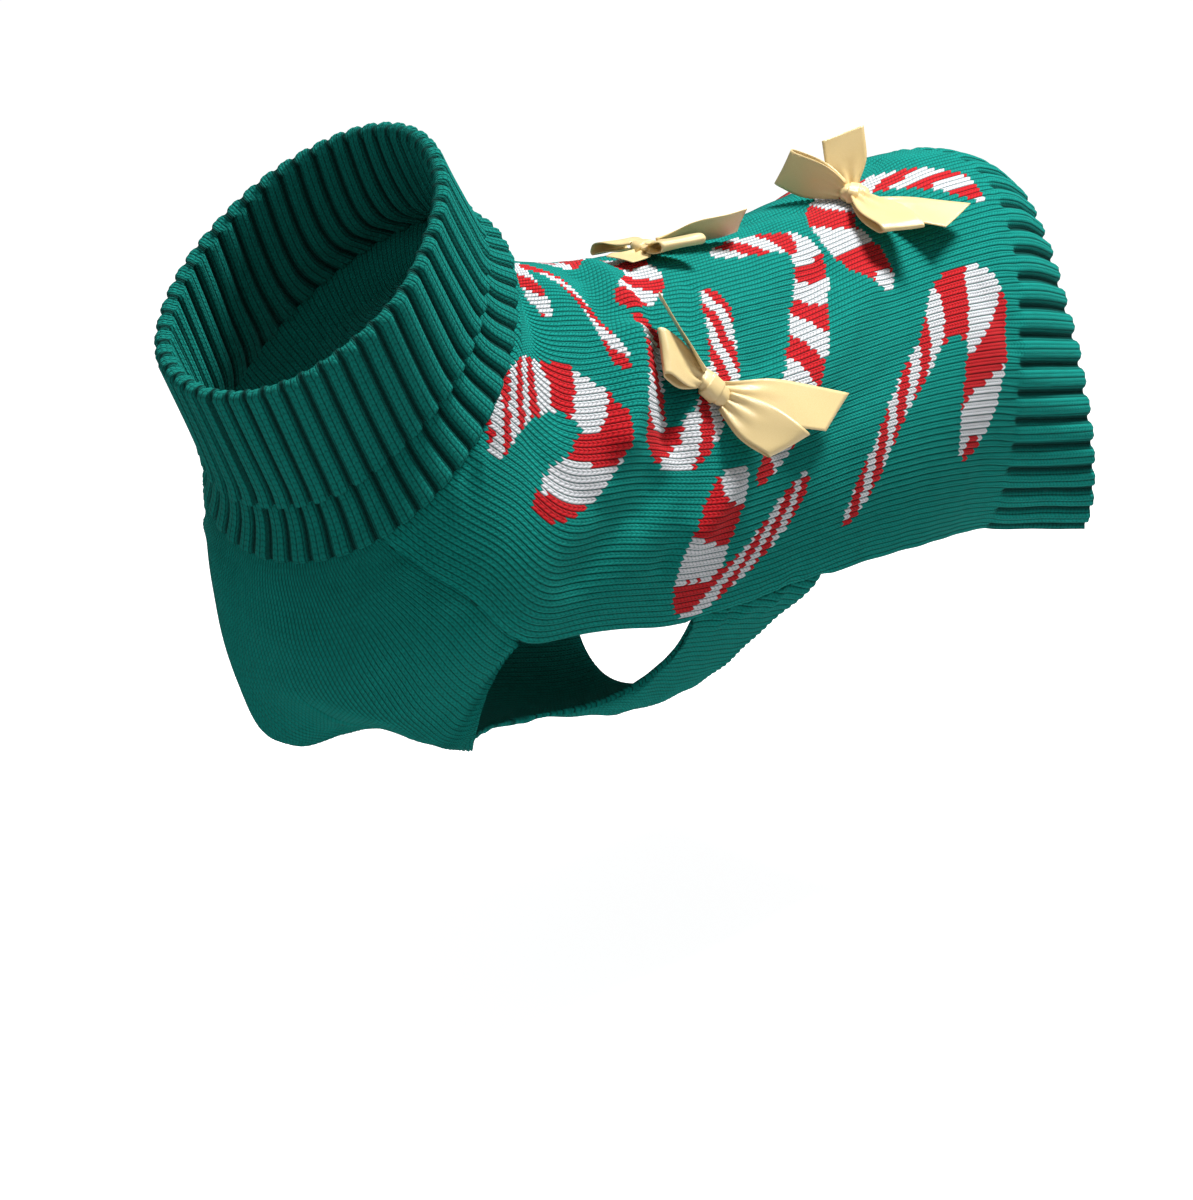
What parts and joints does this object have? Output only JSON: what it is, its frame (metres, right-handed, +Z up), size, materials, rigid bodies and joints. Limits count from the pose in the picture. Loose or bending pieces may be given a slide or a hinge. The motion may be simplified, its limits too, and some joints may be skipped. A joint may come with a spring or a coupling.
{
  "type": "knitted dog sweater",
  "caption": "Knitted sweater for a small dog, held open in its worn form, with a turned-down rib collar, rear rib band, chest and belly panel, armholes and satin ribbon bows.",
  "frame": {"origin": "on the inner face of the back panel at the withers, where the wearer's back holds the sweater up", "axes": "+Z up, the head end faces -Y and the tail end +Y, +X is the wearer's left, and X = 0 is the mirror plane of the garment's form"},
  "size_m": [0.1903, 0.4912, 0.2615],
  "materials": {
    "green_knit": "matte plain knit with red and white candy canes knitted in",
    "green_rib_knit": "matte 2x2 rib knit",
    "gold_satin": "glossy satin ribbon"
  },
  "bodies": {
    "root": {"back_panel": "green_knit", "chest_panel": "green_knit", "collar": "green_rib_knit", "left_bow_knot": "gold_satin", "left_bow_loop_front": "gold_satin", "left_bow_loop_rear": "gold_satin", "left_bow_tail_rear": "gold_satin", "left_bow_tail_top": "gold_satin", "tail_bow_knot": "gold_satin", "tail_bow_loop_front": "gold_satin", "tail_bow_loop_rear": "gold_satin", "tail_bow_tail_rear": "gold_satin", "tail_bow_tail_top": "gold_satin", "right_bow_knot": "gold_satin", "right_bow_loop_left": "gold_satin", "right_bow_loop_right": "gold_satin", "right_bow_tail_rear": "gold_satin", "right_bow_tail_front": "gold_satin"}
  },
  "joints": []
}
